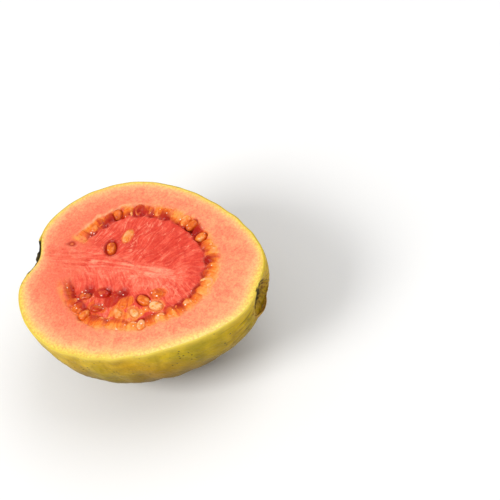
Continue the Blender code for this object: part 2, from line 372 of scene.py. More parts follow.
def pulp_form(angle):
    """How far the pulp's edge lies from its ellipse, as a factor, at an angle round it."""
    at, form = np.array(PULP_FORM).T
    return np.interp((np.degrees(angle) + 180) % 360 - 180, at, form)


def pulp_place(x, y):
    """Distance from the pulp's middle as a share of its edge, and the angle round it, 0 at the flower end."""
    u, v = (x - PULP_CENTRE[0]) / PULP_RADII[0], (y - PULP_CENTRE[1]) / PULP_RADII[1]
    angle = np.arctan2(v, u)
    return np.hypot(u, v) / pulp_form(angle), angle


def pulp_point(share, angle):
    """Place on the cut at a share of the pulp's edge and an angle round it."""
    share = share * pulp_form(angle)
    return (
        PULP_CENTRE[0] + PULP_RADII[0] * share * np.cos(angle),
        PULP_CENTRE[1] + PULP_RADII[1] * share * np.sin(angle),
    )


def seed_places():
    """Rows of x, y, depth under the cut, turn and size for each seed, by the solid's rule and draws."""
    draw = np.random.default_rng(SEED_DRAW)
    places = []

    def grow(angle, share, turn_spread):
        x, y = pulp_point(share + draw.normal(0.0, SEED_SHARE_SPREAD), angle)
        turn = math.atan2(y - PULP_CENTRE[1], x - PULP_CENTRE[0]) + draw.normal(0.0, turn_spread)
        size = 1.0 + draw.uniform(-SEED_SIZE_SPREAD, SEED_SIZE_SPREAD)
        places.append((x, y, draw.uniform(*SEED_SINK), turn, size))

    def step(k, count, span, spread):
        return span[0] + (span[1] - span[0]) * (k + 0.5 + draw.uniform(-spread, spread)) / count

    for k in range(RING_SEEDS):
        grow(step(k, RING_SEEDS, RING_SPAN, RING_STEP_SPREAD), RING_SHARE, RING_TURN_SPREAD)
    for k in range(BAND_SEEDS):
        share = BAND_SHARE + (BAND_ZIGZAG if k % 2 else -BAND_ZIGZAG)
        grow(step(k, BAND_SEEDS, BAND_SPAN, BAND_STEP_SPREAD), share, BAND_TURN_SPREAD)
    for angle in PAIR_ANGLES:
        grow(angle, PAIR_SHARE, PAIR_TURN_SPREAD)
    return np.array(places)


def strand_place(x, y):
    """Coordinates that follow the pulp's strands, which run along the axis from the stem and bend away from
    it as parabolas, sharpest at the middle: across the strands, along them, and the side of the axis. The
    last value is 1 on the axis, where they run straight."""
    flat = np.stack([x, y], -1)
    x = x + 0.5 * MM * waves(flat, 10 * MM, 12, 25)
    y = y + 0.35 * MM * waves(flat, 9 * MM, 12, 26)
    side = y - (AXIS_Y + AXIS_SLOPE * x)
    off = np.abs(side) / MM
    bend = STRAND_BEND * (1.0 + ((x - PULP_CENTRE[0]) / STRAND_REACH) ** 2)
    across = x / MM - bend * np.sqrt(off)
    along = off + bend * np.sqrt(off)
    width = CORE_WIDTH + CORE_WIDENING * np.maximum(-x / MM - 6.0, 0.0)
    return np.stack([across, along, 8.0 * np.tanh(side / (1.5 * MM))], -1), bell(off, 0.0, width)


def nearest_seed(x, y, places):
    """Distance to the nearest seed as a share of its radii, 1 on its widest line, and which seed that is."""
    dx, dy = x[..., None] - places[:, 0], y[..., None] - places[:, 1]
    c, s = np.cos(places[:, 3]), np.sin(places[:, 3])
    u = (dx * c + dy * s) / (SEED_RADII[0] * places[:, 4])
    v = (-dx * s + dy * c) / (SEED_RADII[1] * places[:, 4])
    away = np.hypot(u, v)
    return away.min(-1), away.argmin(-1)


def seed_looks(places):
    """Tone of each seed, and how clear it lies of the gel, 0 drowned to 1 clean."""
    draw = np.random.default_rng(52)
    _, angle = pulp_place(places[:RING_SEEDS, 0], places[:RING_SEEDS, 1])
    turns = np.degrees(angle)
    at, tones = np.array(RING_TONES).T
    ring = np.interp(turns, at, tones) + draw.uniform(-TONE_SPREAD, TONE_SPREAD, RING_SEEDS)
    picked = draw.uniform(0, 1, RING_SEEDS) > 1.0 - HALF_CLEAR_SHARE
    half_clear = 0.5 * picked * ((turns < VEILED_STRETCH[0]) | (turns > VEILED_STRETCH[1]))
    ring_clear = (bell(turns, *CLEAR_STRETCH, 4) + half_clear) * (ring > CLEAR_LEAST_TONE)
    tone = np.clip(np.concatenate([ring, BAND_TONES, PAIR_TONES]), 0.0, 1.0)
    return tone, np.clip(np.concatenate([ring_clear, BAND_CLEAR, PAIR_CLEAR]), 0.0, 1.0)


def pit_nearness(x, y):
    """1 in the middle of an empty seed pit, falling to 0 over its edge."""
    near = np.zeros_like(x)
    for share, angle in PITS:
        px, py = pulp_point(share, angle)
        near = np.maximum(near, bell(np.hypot(x - px, y - py), 0.0, PIT_RADIUS, 3))
    return near


def stray_gel(x, y):
    """1 on the small stray patches of gel past the open end of the ring, with ragged edges."""
    near = np.zeros_like(x)
    for px, py, size in STRAY_GEL:
        near = np.maximum(near, bell(np.hypot(x - px, math.sqrt(1.6) * (y - py)), 0.0, size, 3))
    return near * np.clip(0.9 + 0.2 * waves(np.stack([x, y], -1), 2.5 * MM, 14, 45), 0.0, 1.0)


def ring_gap(angle):
    """How far the ring is torn into a deep red gap at an angle round the pulp."""
    turns = np.degrees(angle)
    return sum(depth * bell(turns, at, width, 4) for at, width, depth in RING_GAPS)


def ring_place(x, y, places):
    """The seeds' bed: share of the pulp's edge with a ragged shift, 1 where the ring is closed and 0 near the
    stem, how far a point lies in the bed, whose outer edge is scalloped round the seeds, and the nearest
    seed's distance and number."""
    share, angle = pulp_place(x, y)
    bent = share + 0.008 * waves(np.stack([x, y], -1), 5 * MM, 14, 21)
    closed = smooth_step((2.85 - np.abs(angle)) / 0.25)
    near, which = nearest_seed(x, y, places)
    scallop = np.where(bent > BED_SHARE, smooth_step((1.65 - near) / 0.45), 1.0)
    scallop = 1.0 - (1.0 - scallop) * smooth_step((bent - BED_SHARE) / 0.04)
    bed = bell(bent, BED_SHARE, BED_WIDTH, 6) * scallop * closed
    return bent, closed, bed, near, which


def cut_height(x, y, edge, places):
    """Height of the cut over its rim, with edge the distance from it: the pulp a little sunk, a moat and bed
    along the ring, a groove along its inner side, gel that climbs each seed, a pocket and a brim round the
    clean ones, empty pits, strands and low waves, and a dip where the peel starts."""
    share, angle = pulp_place(x, y)
    flat = np.stack([x, y], -1)
    bent, closed, bed, near, which = ring_place(x, y, places)
    sunk = PULP_SINK * smooth_step((0.99 - bent) / PULP_EDGE)
    moat = 0.5 * (PULP_MOAT - PULP_SINK) * bed
    clean = seed_looks(places)[1][which]
    deep = ring_gap(angle) * bell(share, 0.9, 0.07)
    groove = GROOVE_DEPTH * bell(bent, 0.845, 0.022) * closed
    floor = -(sunk + moat) * closed - BED_DEPTH * bed - groove - GAP_DEPTH * deep
    gel = -GEL_TOP - GEL_FALL * near**3 - CLEAN_FALL * clean
    climbed = GEL_EASE * np.logaddexp(floor / GEL_EASE, np.maximum(gel, -9 * MM) / GEL_EASE)
    floor = np.where(near < 2.0, climbed, floor)
    pocket = POCKET_DEPTH * clean * bell(near, 0.0, 1.22, 8)
    brim = POCKET_BRIM * clean * bell(near, 1.5, 0.18)
    inside = smooth_step((1.0 - share) / 0.12)
    strands = strand_place(x, y)[0] * np.array([1.0, 0.1, 1.0])
    fibrous = STRAND_RELIEF * waves(strands, 1.6, 20, 22) + PULP_WAVES * waves(flat, 7 * MM, 16, 23)
    faint = FLESH_WAVES * waves(flat, 4 * MM, 14, 24) * smooth_step(edge / (3 * MM))
    dip = RIM_DIP * bell(edge, 0.0, 0.7 * MM)
    return floor - pocket + brim - PIT_DEPTH * pit_nearness(x, y) + fibrous * inside + faint - dip


def loops_mesh(name, points, attributes=None):
    """Closed surfaces from an array of point grids: surface, row, column. Columns close on themselves, and a
    first or last row that is one point closes the end. Doubles are merged and faces turned outwards."""
    surfaces, rows, columns = points.shape[:3]
    index = np.arange(surfaces * rows * columns).reshape(surfaces, rows, columns)
    beside = np.roll(index, -1, axis=2)
    corners = (index[:, :-1], beside[:, :-1], beside[:, 1:], index[:, 1:])
    faces = np.stack([corner.reshape(-1) for corner in corners], -1)
    data = bpy.data.meshes.new(name)
    data.from_pydata(points.reshape(-1, 3), [], faces)
    for key, values in (attributes or {}).items():
        vector = values.shape != points.shape[:3]
        layer = data.attributes.new(key, "FLOAT_VECTOR" if vector else "FLOAT", "POINT")
        layer.data.foreach_set("vector" if vector else "value", values.astype(np.float32).reshape(-1))
    shape = bmesh.new()
    shape.from_mesh(data)
    bmesh.ops.remove_doubles(shape, verts=shape.verts, dist=0.0005 * MM)
    bmesh.ops.recalc_face_normals(shape, faces=shape.faces)
    shape.to_mesh(data)
    shape.free()
    data.shade_smooth()
    return data


def piece(name, data, material):
    """Object at the origin that rides the fruit's body and stands for its solid."""
    made = bpy.data.objects.new(name, data)
    data.materials.append(material)
    bpy.context.scene.collection.objects.link(made)
    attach(made, "root")
    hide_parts(NODE)
    return made


def rgba(colour):
    """Linear colour with full alpha, from an sRGB hex text or a linear triple."""
    return (*(linear(colour) if isinstance(colour, str) else colour), 1.0)


def connect(made, inputs):
    """Sets a node's inputs, each a value, a colour or another node's socket."""
    for key, value in inputs.items():
        socket = made.inputs[key]
        if isinstance(value, bpy.types.NodeSocket):
            made.id_data.links.new(value, socket)
        else:
            socket.default_value = rgba(value) if socket.type == "RGBA" else value


def node(tree, kind, inputs=None, stops=None, result=0, **settings):
    """Adds a shader node with its settings, ramp stops and inputs, and gives back its result's socket."""
    made = tree.nodes.new("ShaderNode" + kind)
    for key, value in settings.items():
        setattr(made, key, value)
    if stops:
        elements = made.color_ramp.elements
        while len(elements) < len(stops):
            elements.new(0.5)
        for element, (place, colour) in zip(elements, stops):
            element.position = place
            element.color = rgba(colour)
    connect(made, inputs or {})
    return made.outputs[result]


def new_material(name):
    """Empty node material, its tree and its Principled shader."""
    made = bpy.data.materials.new(name)
    made.use_nodes = True
    return made, made.node_tree, made.node_tree.nodes["Principled BSDF"]


# Sockets of a Mix node that mixes colours, which share their names with those for numbers
MIX_FACTOR, MIX_A, MIX_B, MIX_RESULT = 0, 6, 7, 2


def per_metre(size):
    """Noise scale whose features are about size long, on coordinates in metres."""
    return 1.0 / size


def fleck_mask(tree, place, size, share, reach=0.19):
    """Sharp small spots about size apart, kept on a share of the cells, reach of a cell wide."""
    away = node(tree, "TexVoronoi", {"Vector": place, "Scale": per_metre(size)})
    spots = node(tree, "MapRange", {"Value": away, "From Min": reach, "From Max": 0.7 * reach})
    lot = away.node.outputs["Color"]
    chance = {"Value": lot, "From Min": 1.0 - share, "From Max": 1.02 - share, "To Max": 0.9}
    picked = node(tree, "MapRange", chance)
    return node(tree, "Math", {0: spots, 1: picked}, operation="MULTIPLY")


def peel_material(looks):
    """Ripe guava peel: a waxy, finely pebbled rind. Yellow with green mottling and ochre blush, dark green
    specks, dry brown in the stem dent, tan with brown scabs at the flower end, and soft broken highlights
    from the pebbles. Painted shade darkens the underside, the creases and the floor of the hollow at the
    flower end. The pores are drawn 0.9 mm apart, further than they are, to show."""
    made, tree, shader = new_material("guava_peel_waxy")
    place = node(tree, "TexCoord", result="Object")
    seen = {
        key: node(tree, "Attribute", result="Fac", attribute_name=key)
        for key in ("stem_near", "flower_near", "underside_shade", "crease_shade", "cut_lip", "hollow_shade")
    }
    noise = {}
    for key, size, detail, roughness in (
        ("blotches", 26 * MM, 4.0, 0.5),
        ("mottle", 5 * MM, 6.0, 0.5),
        ("patches", 11 * MM, 2.0, 0.5),
        ("flakes", 1.6 * MM, 4.0, 0.7),
        ("pebbles", 1.5 * MM, 3.0, 0.5),
    ):
        pattern = {"Vector": place, "Scale": per_metre(size), "Detail": detail, "Roughness": roughness}
        noise[key] = node(tree, "TexNoise", pattern)
    tone = {}
    for key, source, stops in (
        ("olive", noise["blotches"], [(0.34, "c0a80c"), (0.5, tuple(looks.skin)), (0.66, "d2a00c")]),
        ("mottle", noise["mottle"], [(0.3, (0.62, 0.62, 0.62)), (0.7, (1.14, 1.14, 1.14))]),
        ("bark", seen["stem_near"], [(0.0, "a08a24"), (0.4, "5c4714"), (0.85, "171204")]),
        ("tan", noise["flakes"], [(0.38, "9a5a0e"), (0.46, "c49420"), (0.62, "dcb02c")]),
    ):
        tone[key] = node(tree, "ValToRGB", {"Fac": source}, stops)
    dots = node(tree, "TexVoronoi", {"Vector": place, "Scale": per_metre(2.3 * MM)})
    share = {}
    for key, source, low, high, most in (
        ("dots", dots, 0.2, 0.1, 1.0),
        ("patches", noise["patches"], 0.4, 0.56, 1.0),
        ("bark", seen["stem_near"], 0.0, 0.5, 1.0),
        ("margin", seen["flower_near"], 0.12, 0.4, 0.7),
    ):
        span = {"Value": source, "From Min": low, "From Max": high, "To Max": most}
        share[key] = node(tree, "MapRange", span)
    for key, one, other in (
        ("specks", share["dots"], share["patches"]),
        ("scabs", fleck_mask(tree, place, 1.5 * MM, 0.5, 0.34), share["margin"]),
        # Painted shade: the underside darkens towards the floor
        ("ground", seen["underside_shade"], 0.8),
    ):
        share[key] = node(tree, "Math", {0: one, 1: other}, operation="MULTIPLY")
    colour = tone["olive"]
    for cover, coat, blend in (
        (1.0, tone["mottle"], "MULTIPLY"),
        (share["specks"], "3c380c", "MIX"),
        (share["bark"], tone["bark"], "MIX"),
        (seen["flower_near"], tone["tan"], "MIX"),
        (share["scabs"], "642e04", "MIX"),
        # Painted shade: dark olive-brown on the underside, towards the floor
        (share["ground"], "4e3d00", "MIX"),
        # Painted shade: olive-brown in the creases between the wrinkles
        (seen["crease_shade"], "7a6018", "MIX"),
        (seen["cut_lip"], "efd25e", "MIX"),
        # Painted shade: near-black on the floor of the sepals' hollow, a thin dark line under the rim
        (seen["hollow_shade"], "241e06", "MIX"),
    ):
        coated = {MIX_FACTOR: cover, MIX_A: colour, MIX_B: coat}
        colour = node(tree, "Mix", coated, result=MIX_RESULT, data_type="RGBA", blend_type=blend)
    pores = node(tree, "TexVoronoi", {"Vector": place, "Scale": per_metre(0.9 * MM)})
    coarse = {"Strength": 0.8, "Distance": 0.35 * MM, "Height": noise["pebbles"]}
    fine = {"Strength": 0.25, "Distance": 0.15 * MM, "Height": pores}
    finish = {
        "Base Color": colour,
        "Normal": node(tree, "Bump", {**fine, "Normal": node(tree, "Bump", coarse)}),
        "Roughness": 0.45,
        "IOR": 1.45,
        "Specular IOR Level": 0.09,
        "Subsurface Weight": 0.08,
        "Subsurface Radius": (1.0, 0.7, 0.2),
        "Subsurface Scale": 1.0 * MM,
        "Coat Weight": 0.03,
        "Coat Roughness": 0.2,
    }
    connect(shader, finish)
    return made


def cut_material(name, looks):
    """Cut guava, moist from the knife. From the rim inwards: a yellow band under the peel, cream, then salmon
    flesh, mottled, redder towards the stem, then red pulp with pale strands and threads. Orange to peach gel
    round the seeds, deep red and shiny in the gaps, with painted shade in the groove, round clean seeds and
    between seeds, and a highlight painted along the ring's pale outer lip. Light sinks in a little, and small
    glints of juice are painted on as pale specks. The grain of the flesh is drawn at 0.8 mm, coarser than it
    is, so that it shows."""
    made, tree, shader = new_material(name)
    place = node(tree, "TexCoord", result="Object")
    strand_mm, round_mm = (
        node(tree, "Attribute", result="Vector", attribute_name=key)
        for key in ("strand_mm", "round_mm")
    )
    numbers = ("edge_mm", "cream", "blush", "core", "pale", "pulp", "gel", "gel_tone", "gap", "lip", "wet")
    seen = {key: node(tree, "Attribute", result="Fac", attribute_name=key) for key in numbers}
    drawn_out = {}
    for key, source, stretch in (
        ("fan", strand_mm, FIBRE_STRETCH),
        ("level", place, LEVEL_FIBRES_PER_METRE),
        ("threads", strand_mm, THREAD_STRETCH),
    ):
        drawn_out[key] = node(tree, "VectorMath", {0: source, 1: stretch}, operation="MULTIPLY")
    noise = {}
    for key, source, scale, detail, roughness, distortion in (
        ("wobble", place, per_metre(7 * MM), 4.0, 0.5, 0.0),
        ("mottle", place, per_metre(3.5 * MM), 8.0, 0.8, 0.6),
        ("curds", place, per_metre(5 * MM), 5.0, 0.65, 1.2),
        ("grain", place, per_metre(0.8 * MM), 4.0, 0.8, 0.0),
        ("fan", drawn_out["fan"], FIBRES_PER_MM, 5.0, 0.66, 0.0),
        ("level", drawn_out["level"], 1.0, 5.0, 0.65, 0.7),
        ("threads", drawn_out["threads"], THREADS_PER_MM, 2.0, 0.5, 0.5),
        ("teeth", round_mm, TEETH_PER_MM, 4.0, 0.6, 0.0),
    ):
        pattern = {"Vector": source, "Scale": scale, "Detail": detail, "Roughness": roughness}
        noise[key] = node(tree, "TexNoise", {**pattern, "Distortion": distortion})
    uneven_edge = {0: noise["wobble"], 1: 1.6, 2: seen["edge_mm"]}
    depth = node(tree, "Math", uneven_edge, operation="MULTIPLY_ADD")
    depth = node(tree, "MapRange", {"Value": depth, "From Min": 0.8, "From Max": 10.8})
    off_crest = node(tree, "Math", {0: noise["threads"], 1: 0.5}, operation="SUBTRACT")
    off_crest = node(tree, "Math", {0: off_crest}, operation="ABSOLUTE")
    level = {}
    for key, source, low, high, first, last in (
        ("mottle", noise["mottle"], 0.45, 0.62, 0.0, 0.75),
        ("inward", depth, 0.25, 0.6, 0.0, 1.0),
        ("curds", seen["core"], 0.0, 0.8, 0.45, 0.28),
        ("thread", off_crest, 0.004, 0.028, 1.0, 0.0),
        ("sparse", noise["curds"], 0.42, 0.58, 0.1, 0.75),
        ("teeth", noise["teeth"], 0.3, 0.7, -0.3, 0.2),
        ("juicy", seen["wet"], 0.25, 0.6, 0.0, 1.0),
        ("dullness", seen["wet"], 0.0, 1.0, 0.6, 0.1),
    ):
        span = {"Value": source, "From Min": low, "From Max": high, "To Min": first, "To Max": last}
        level[key] = node(tree, "MapRange", span)
    strands = node(tree, "Mix", {0: seen["core"], 2: noise["fan"], 3: noise["level"]})
    strands = node(tree, "Mix", {0: level["curds"], 2: strands, 3: noise["curds"]})
    for key, one, other, operation in (
        ("patches", level["mottle"], level["inward"], "MULTIPLY"),
        ("threads", level["thread"], level["sparse"], "MULTIPLY"),
        ("strands", seen["pale"], strands, "ADD"),
        ("gel", seen["gel_tone"], level["teeth"], "ADD"),
        # Painted highlight: the ring's outer lip lightened, strongest on the far stem side, partly its pale
        # edge
        ("lip", seen["lip"], 0.6, "MULTIPLY"),
        # Painted glints: sharp pale specks on the wet parts in place of small highlights
        ("painted_glints", fleck_mask(tree, place, 1.4 * MM, 0.45), level["juicy"], "MULTIPLY"),
        ("relief", strands, seen["pulp"], "MULTIPLY"),
    ):
        level[key] = node(tree, "Math", {0: one, 1: other}, operation=operation)
    band = [(0.0, "dcc043"), (0.05, "efd25c"), (0.13, "f8d068"), (0.22, "fcc578"), (0.33, "fcb87e")]
    salmon = [(0.48, "fcaa78"), (0.75, tuple(looks.flesh)), (1.0, "fca072")]
    reds = [(0.32, "c8261a"), (0.44, tuple(looks.pulp)), (0.53, "e84f3a"), (0.64, "fb795c"), (0.78, "ffa684")]
    oranges = [(0.05, "c0230f"), (0.3, "c8441a"), (0.5, "e4641e"), (0.7, "f4832c"), (0.95, "fda650")]
    shades = [(0.38, (0.94, 0.72, 0.76)), (0.5, (1.0, 0.97, 0.97)), (0.62, (1.05, 1.18, 1.17))]
    wall, pulp, gel, grain = (
        node(tree, "ValToRGB", {"Fac": source}, stops)
        for source, stops in (
            (depth, band + salmon),
            (level["strands"], reds),
            (level["gel"], oranges),
            (noise["grain"], shades),
        )
    )
    threaded = {MIX_FACTOR: level["threads"], MIX_A: pulp, MIX_B: "ff9c7c"}
    pulp = node(tree, "Mix", threaded, result=MIX_RESULT, data_type="RGBA")
    colour = wall
    for cover, coat, blend in (
        (seen["cream"], "fde9a4", "MIX"),
        (seen["blush"], "f1624c", "MIX"),
        (level["patches"], "f57358", "MIX"),
        (seen["pulp"], pulp, "MIX"),
        (seen["gel"], gel, "MIX"),
        # Deep red of gel in pits and gaps, and painted shade in the groove, round clean seeds and between
        # seeds
        (seen["gap"], "a8190c", "MIX"),
        # Painted highlight along the ring's outer lip, partly the pale edge of the flesh
        (level["lip"], "ffc795", "MIX"),
        (1.0, grain, "MULTIPLY"),
        # Painted glints: pale specks over the wet gel and gaps
        (level["painted_glints"], "fff0dc", "MIX"),
    ):
        coated = {MIX_FACTOR: cover, MIX_A: colour, MIX_B: coat}
        colour = node(tree, "Mix", coated, result=MIX_RESULT, data_type="RGBA", blend_type=blend)
    normal = node(tree, "Bump", {"Strength": 0.4, "Distance": 0.25 * MM, "Height": noise["grain"]})
    strung = {"Strength": 0.3, "Distance": 0.3 * MM, "Height": level["relief"], "Normal": normal}
    finish = {
        "Base Color": colour,
        "Normal": node(tree, "Bump", strung),
        "Roughness": level["dullness"],
        "IOR": 1.36,
        "Specular IOR Level": 0.4,
        "Subsurface Weight": 0.25,
        "Subsurface Radius": (1.0, 0.35, 0.2),
        "Subsurface Scale": 0.4 * MM,
    }
    connect(shader, finish)
    return made


def seed_material(looks):
    """Guava seed in its clear gel: a hard tan seed under a wet skin. Deep red, brown, orange to pale peach
    from seed to seed, the drowned ones clouded by a veil of pulp, with small glints of juice painted on as
    pale specks."""
    made, tree, shader = new_material("guava_seed_wet")
    place = node(tree, "TexCoord", result="Object")
    tone, drowned = (
        node(tree, "Attribute", result="Fac", attribute_name=key) for key in ("tone", "drowned")
    )
    cloudy = {"Vector": place, "Scale": per_metre(1.5 * MM), "Detail": 4.0, "Roughness": 0.6}
    cloud = node(tree, "TexNoise", cloudy)
    span = {"Value": cloud, "From Min": 0.32, "From Max": 0.68, "To Min": -0.24, "To Max": 0.22}
    tone = node(tree, "Math", {0: tone, 1: node(tree, "MapRange", span)})
    reds = [(0.0, "be1f10"), (0.16, "c8300f"), (0.32, "cb551c"), (0.46, "dc5f14")]
    oranges = [(0.62, tuple(looks.seed)), (0.8, "f79a44"), (1.0, "ffc488")]
    colour = node(tree, "ValToRGB", {"Fac": tone}, reds + oranges)
    veil = node(tree, "TexNoise", {"Vector": place, "Scale": per_metre(3 * MM), "Detail": 4.0})
    span = {"Value": veil, "From Min": 0.48, "From Max": 0.64, "To Max": 0.6}
    veil = node(tree, "MapRange", span)
    veil = node(tree, "Math", {0: veil, 1: drowned}, operation="MULTIPLY")
    # The second coat is painted glints: pale specks in place of small highlights on the wet skin
    for cover, coat in ((veil, "f9824a"), (fleck_mask(tree, place, 1.9 * MM, 0.5), "fff0dc")):
        coated = {MIX_FACTOR: cover, MIX_A: colour, MIX_B: coat}
        colour = node(tree, "Mix", coated, result=MIX_RESULT, data_type="RGBA")
    finish = {
        "Base Color": colour,
        "Normal": node(tree, "Bump", {"Strength": 0.5, "Distance": 0.3 * MM, "Height": cloud}),
        "Roughness": 0.14,
        "IOR": 1.4,
        "Subsurface Weight": 0.2,
        "Subsurface Radius": (1.0, 0.4, 0.1),
        "Subsurface Scale": 0.5 * MM,
    }
    connect(shader, finish)
    return made


def dry_material(name, light, dark):
    """Dried plant tissue: papery and fibrous, dull, with darker veins and edges."""
    made, tree, shader = new_material(name)
    place = node(tree, "TexCoord", result="Object")
    stretched = node(tree, "VectorMath", {0: place, 1: (0.25, 1.0, 1.0)}, operation="MULTIPLY")
    fibrous = {"Vector": stretched, "Scale": per_metre(0.9 * MM), "Detail": 5.0, "Roughness": 0.65}
    veins = node(tree, "TexNoise", fibrous)
    finish = {
        "Base Color": node(tree, "ValToRGB", {"Fac": veins}, [(0.32, dark), (0.6, light)]),
        "Normal": node(tree, "Bump", {"Strength": 0.6, "Distance": 0.3 * MM, "Height": veins}),
        "Roughness": 0.8,
        "Specular IOR Level": 0.2,
    }
    connect(shader, finish)
    return made


def peel_surface(fruit, t, b, scar_height):
    """The peel's outside, how far its rim is drawn in, and painted shade, 1 in its creases: the skin with a
    quarter round at the rim, moved out from the middle by wrinkles along the fruit, which grow towards the
    flower end, and by pebbles and swells, then towards the stem by a ragged scar round the stub."""
    outer = skin(t, b)
    down = np.clip((fruit.face_height - outer[..., 2]) / fruit.rim_radius, 0.0, 1.0)
    inset = fruit.rim_radius * (1.0 - np.sqrt(1.0 - (1.0 - down) ** 2))
    reach = np.linalg.norm(outer[..., :2], axis=-1)
    outer[..., :2] *= (1.0 - inset / np.maximum(reach, fruit.rim_radius))[..., None]
    ray = outer - np.array([0.0, 0.0, fruit.face_height])
    ray = ray / np.linalg.norm(ray, axis=-1, keepdims=True)
    towards_flower = smooth_step((t - 0.62 * np.pi) / (0.3 * np.pi)) * np.sin(t) ** 0.3
    across = np.stack([b * 30 * MM, t * 5 * MM], -1)
    lengthwise = 0.7 * waves(across, 3.2 * MM, 18, 31) + 0.5 * waves(across, 1.4 * MM, 24, 36)
    pebbles = PEBBLE_HEIGHT * waves(outer, 2.4 * MM, 26, 32) + SWELL_HEIGHT * waves(outer, 9 * MM, 20, 33)
    relief = WRINKLE_HEIGHT * lengthwise * towards_flower + pebbles
    outer = outer + ray * (relief * smooth_step(np.sin(b) / 0.12) * np.sin(t))[..., None]
    outer[..., 2] = np.maximum(outer[..., 2], 0.0)
    under_rim = fruit.face_height - outer[..., 2]
    scar = bell(outer[..., 1], STUB_Y / 2, SCAR_RADIUS, 6) * bell(under_rim, 0.0, 7 * MM)
    scar = scar * smooth_step(under_rim / (0.4 * MM)) * (t < np.pi / 2)
    outer[..., 0] -= scar_height * scar * (0.6 + 0.5 * waves(outer, 4 * MM, 14, 35))
    # Painted shade: 1 in the low creases between the wrinkles towards the flower end
    crease_shade = np.clip(-lengthwise - 0.45, 0.0, 1.0) * towards_flower * smooth_step(under_rim / (3 * MM))
    return outer, inset, crease_shade


def peel_attributes(fruit, outer, crease_shade, t):
    """What the peel's finish reads at each point of its outside: how near it is to the stem and to the flower
    end, painted shade that darkens it towards the floor, painted shade on the floor of the sepals' hollow,
    painted shade in creases, and the lip at the cut."""
    y, under_rim = outer[..., 1], fruit.face_height - outer[..., 2]
    ragged = 0.16 * waves(outer, 2 * MM, 16, 34)
    stem_off = np.hypot(y, under_rim) / SCAR_RADIUS
    stem = smooth_step((1.25 - stem_off + ragged) / 0.6) * (t < np.pi / 2)
    flower_off = np.hypot(y - CALYX_Y, under_rim - CALYX_BELOW_FACE) / FLOWER_DRY_RADIUS
    hollow_shade_off = np.hypot(y - HOLLOW_SHADE_Y, under_rim - HOLLOW_SHADE_BELOW_FACE) / HOLLOW_SHADE_RADIUS
    near_side = 0.3 + 0.5 * smooth_step(0.5 - y / (20 * MM))
    return {
        "stem_near": 0.9 * stem,
        "flower_near": 0.85 * smooth_step(1.6 - flower_off + ragged) * (t > np.pi / 2),
        # Painted shade: 1 low on the fruit, none above 44 mm over the floor
        "underside_shade": smooth_step((44 * MM - outer[..., 2]) / (30 * MM)),
        # Painted shade on the floor of the sepals' hollow under the rim
        "hollow_shade": 0.9 * smooth_step((1.1 - hollow_shade_off + 0.7 * ragged) / 0.22) * (t > np.pi / 2),
        "crease_shade": crease_shade,
        "cut_lip": near_side * np.exp(-under_rim / (1.3 * MM)) * (1 - stem),
    }


class MESH_OT_guava_peel(Operator):
    """Adds the peel: a thin closed shell under the cut, pebbled, with wrinkles towards the flower end"""

    bl_idname = "mesh.guava_peel"
    bl_label = "Peel"

    rows: steps_setting("Rows", "Steps from end to end", 300, 8)
    columns: steps_setting("Columns", "Steps round the section", 150, 8)
    scar: length_setting("Scar", "How far the dry skin stands out round the stem", 0.7 * MM)

    def execute(self, context):
        fruit, looks = context.scene.guava_fruit, context.scene.guava_looks
        share = np.linspace(0.0, 1.0, self.columns)
        section = np.pi * (share - 0.93 * np.sin(2 * np.pi * share) / (2 * np.pi))
        t, b = np.meshgrid(np.linspace(0.0, np.pi, self.rows), section, indexing="ij")
        outer, inset, crease_shade = peel_surface(fruit, t, b, self.scar)
        centre = np.array([0.0, 0.0, fruit.face_height])
        ray = outer - centre
        length = np.linalg.norm(ray, axis=-1, keepdims=True)
        inner = centre + ray * (1.0 - (fruit.peel_thickness - inset[..., None]) / length)
        points = np.concatenate([outer, inner[:, ::-1]], axis=1)
        finish = {
            key: np.concatenate([value, value[:, ::-1]], axis=1)[None]
            for key, value in peel_attributes(fruit, outer, crease_shade, t).items()
        }
        finish["cut_lip"][..., self.columns :] = 1.0
        piece("peel", loops_mesh("peel", points[None], finish), peel_material(looks))
        return {"FINISHED"}


